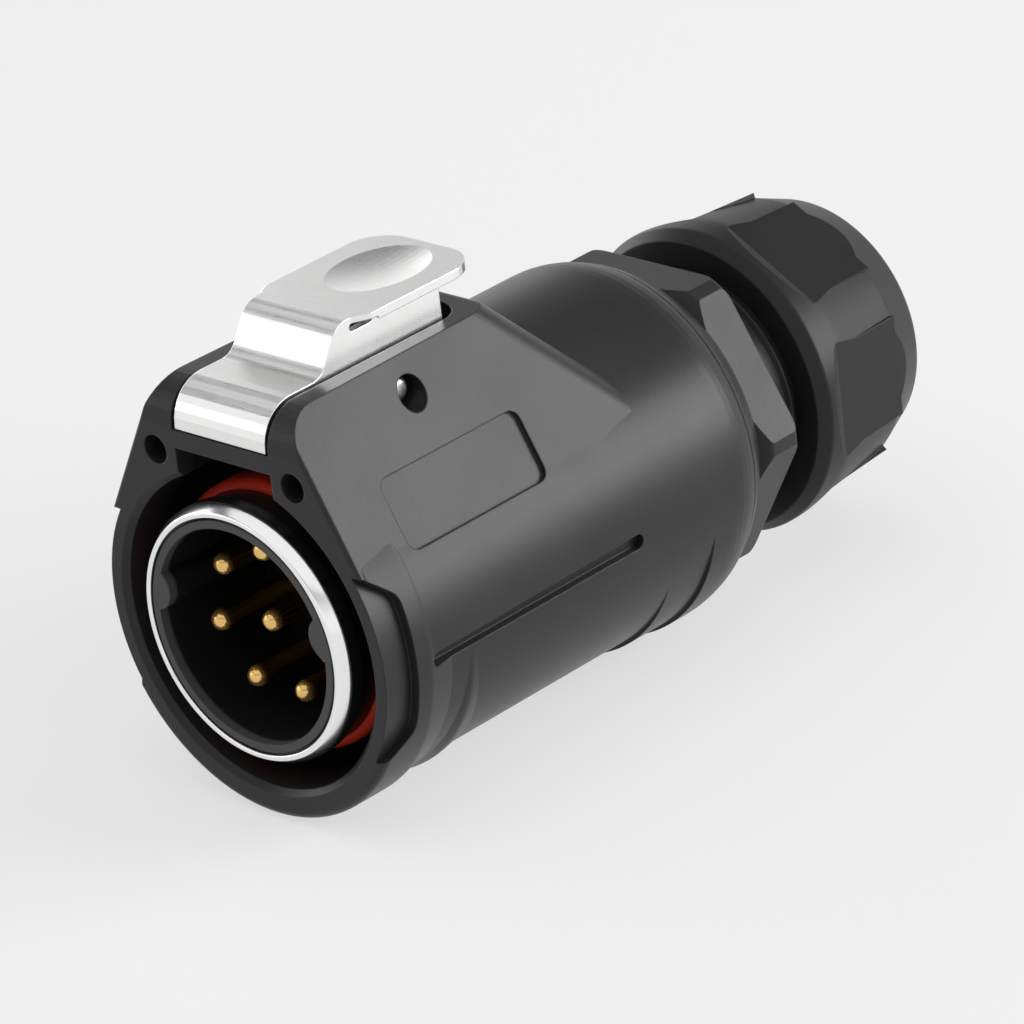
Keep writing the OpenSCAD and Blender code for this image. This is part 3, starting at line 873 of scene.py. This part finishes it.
def direction(azimuth: float, elevation: float) -> Vector:
    """The way from the object towards a place round it.

    Args:
        azimuth: Degrees round the upright axis; 0 is in front, -Y, and 90 is at +X.
        elevation: Degrees above the horizon.

    Returns:
        A unit vector.
    """
    a, e = math.radians(azimuth), math.radians(elevation)
    return Vector((math.sin(a) * math.cos(e), -math.cos(a) * math.cos(e), math.sin(e)))


@dataclass(frozen=True)
class Lamp:
    """A soft box that faces the object; lengths are in metres."""

    name: str
    azimuth: float
    elevation: float
    distance: float
    width: float
    height: float
    power: float

    def hang(self, target: Vector) -> None:
        """Puts the lamp in its place.

        Args:
            target: The point that it faces.
        """
        data = bpy.data.lights.new(self.name, "AREA")
        data.shape = "RECTANGLE"
        data.size, data.size_y = self.width, self.height
        data.energy = self.power
        lamp = bpy.data.objects.new(self.name, data)
        back = direction(self.azimuth, self.elevation)
        lamp.location = target + back * self.distance
        lamp.rotation_euler = (-back).to_track_quat("-Z", "Y").to_euler()
        bpy.context.scene.collection.objects.link(lamp)


@dataclass(frozen=True)
class Viewpoint:
    """The photograph's camera: angles in degrees, lengths in millimetres."""

    azimuth: float = 45.596
    elevation: float = 24.352
    roll: float = -6.991
    distance: float = 445.085
    aside: float = 18.967
    above: float = 8.811
    ahead: float = 0.6
    lens: float = 223.72
    sensor: float = 36.0
    clip: tuple[float, float] = (10.0, 20000.0)

    def set_up(self) -> None:
        """Makes the camera and gives it to the scene."""
        back = direction(self.azimuth, self.elevation)
        level = direction(self.azimuth + 90.0, 0.0)
        turn = Matrix.Rotation(math.radians(self.roll), 3, back)
        right, up = turn @ level, turn @ back.cross(level)
        eye = back * self.distance + right * self.aside + up * self.above - Vector((0.0, self.ahead, 0.0))
        data = bpy.data.cameras.new("camera")
        data.lens, data.sensor_width = self.lens, self.sensor
        data.clip_start, data.clip_end = (end * MM for end in self.clip)
        camera = bpy.data.objects.new("camera", data)
        place = Matrix((right, up, back)).transposed().to_4x4()
        place.translation = eye * MM
        camera.matrix_world = place
        bpy.context.scene.collection.objects.link(camera)
        bpy.context.scene.camera = camera


@dataclass(frozen=True)
class Studio:
    """Pale floor, white surroundings under a dimmer ceiling, and soft boxes."""

    lamps: tuple[Lamp, ...] = (
        Lamp("key", 128.0, 15.0, 0.6, 0.48, 0.3, 3.6),
        Lamp("top", 30.0, 78.0, 0.75, 1.4, 1.4, 5.0),
        Lamp("left", -95.0, 14.0, 0.7, 0.8, 0.5, 2.0),
        Lamp("front", -45.0, 22.0, 0.7, 0.4, 0.3, 0.3),
    )
    floor_size: float = 6.0
    floor_tint: Tint = (0.88, 0.88, 0.88)
    floor_lift: float = 0.6
    ambient: float = 0.03
    ceiling: Tint = (0.15, 0.15, 0.15)
    ceiling_rise: tuple[float, float] = (0.18, 0.68)

    def set_up(self) -> None:
        """Builds the floor, the world and the lamps."""
        low, high = CAD_BOX
        centre = (low + high) / 2
        for lamp in self.lamps:
            lamp.hang(centre)
        self._floor(low.z)
        self._world()
        bpy.context.scene.view_settings.view_transform = "Standard"

    def _seen(self, tree: Tree) -> Wire:
        """A mask of the rays on which the surroundings are seen: straight, mirrored or through glass."""
        path = tree.add("ShaderNodeLightPath", output="Is Camera Ray")
        seen = path + path.out("Is Glossy Ray") + path.out("Is Transmission Ray")
        return tree.add("ShaderNodeClamp", {}, {"Value": seen})

    def _floor(self, height: float) -> None:
        """Lays the floor.

        Args:
            height: Height of its top.
        """
        mesh = bpy.data.meshes.new("floor")
        shape = bmesh.new()
        bmesh.ops.create_grid(shape, x_segments=1, y_segments=1, size=self.floor_size / 2)
        bmesh.ops.translate(shape, verts=shape.verts, vec=(0.0, 0.0, height))
        shape.to_mesh(mesh)
        shape.free()
        floor = bpy.data.objects.new("floor", mesh)
        bpy.context.scene.collection.objects.link(floor)
        material = bpy.data.materials.new("floor")
        mesh.materials.append(material)
        tree = Tree(material)
        matt = tree.add("ShaderNodeBsdfDiffuse", {}, {"Color": tree.colour(self.floor_tint)})
        white = tree.add("ShaderNodeEmission", {}, {"Color": tree.colour(WHITE), "Strength": 1.0})
        seen = self._seen(tree) * self.floor_lift
        mixed = tree.add("ShaderNodeMixShader", {}, {0: seen, 1: matt, 2: white})
        tree.add_output("ShaderNodeOutputMaterial", mixed)

    def _world(self) -> None:
        """Makes the surroundings white to look at, dimmer overhead, and faint as a light."""
        world = bpy.data.worlds.new("surroundings")
        bpy.context.scene.world = world
        tree = Tree(world)
        grey = tree.colour(shade(WHITE, self.ambient))
        dim = tree.add("ShaderNodeBackground", {}, {"Color": grey, "Strength": 1.0})
        height = tree.part(tree.add("ShaderNodeTexCoord", output="Generated"), "Z")
        room = tree.blend(tree.span(height, *self.ceiling_rise), WHITE, self.ceiling)
        white = tree.add("ShaderNodeBackground", {}, {"Color": room, "Strength": 1.0})
        mixed = tree.add("ShaderNodeMixShader", {}, {0: self._seen(tree), 1: dim, 2: white})
        tree.add_output("ShaderNodeOutputWorld", mixed)


def main() -> None:
    """Builds the studio, then dresses each sub-assembly in order."""
    logging.basicConfig(level=logging.INFO, format="%(name)s %(message)s")
    Viewpoint().set_up()
    Studio().set_up()
    for assembly in (Housing(), Insert(), Latch(), Gland()):
        assembly.dress()


if __name__ == "__main__":
    main()
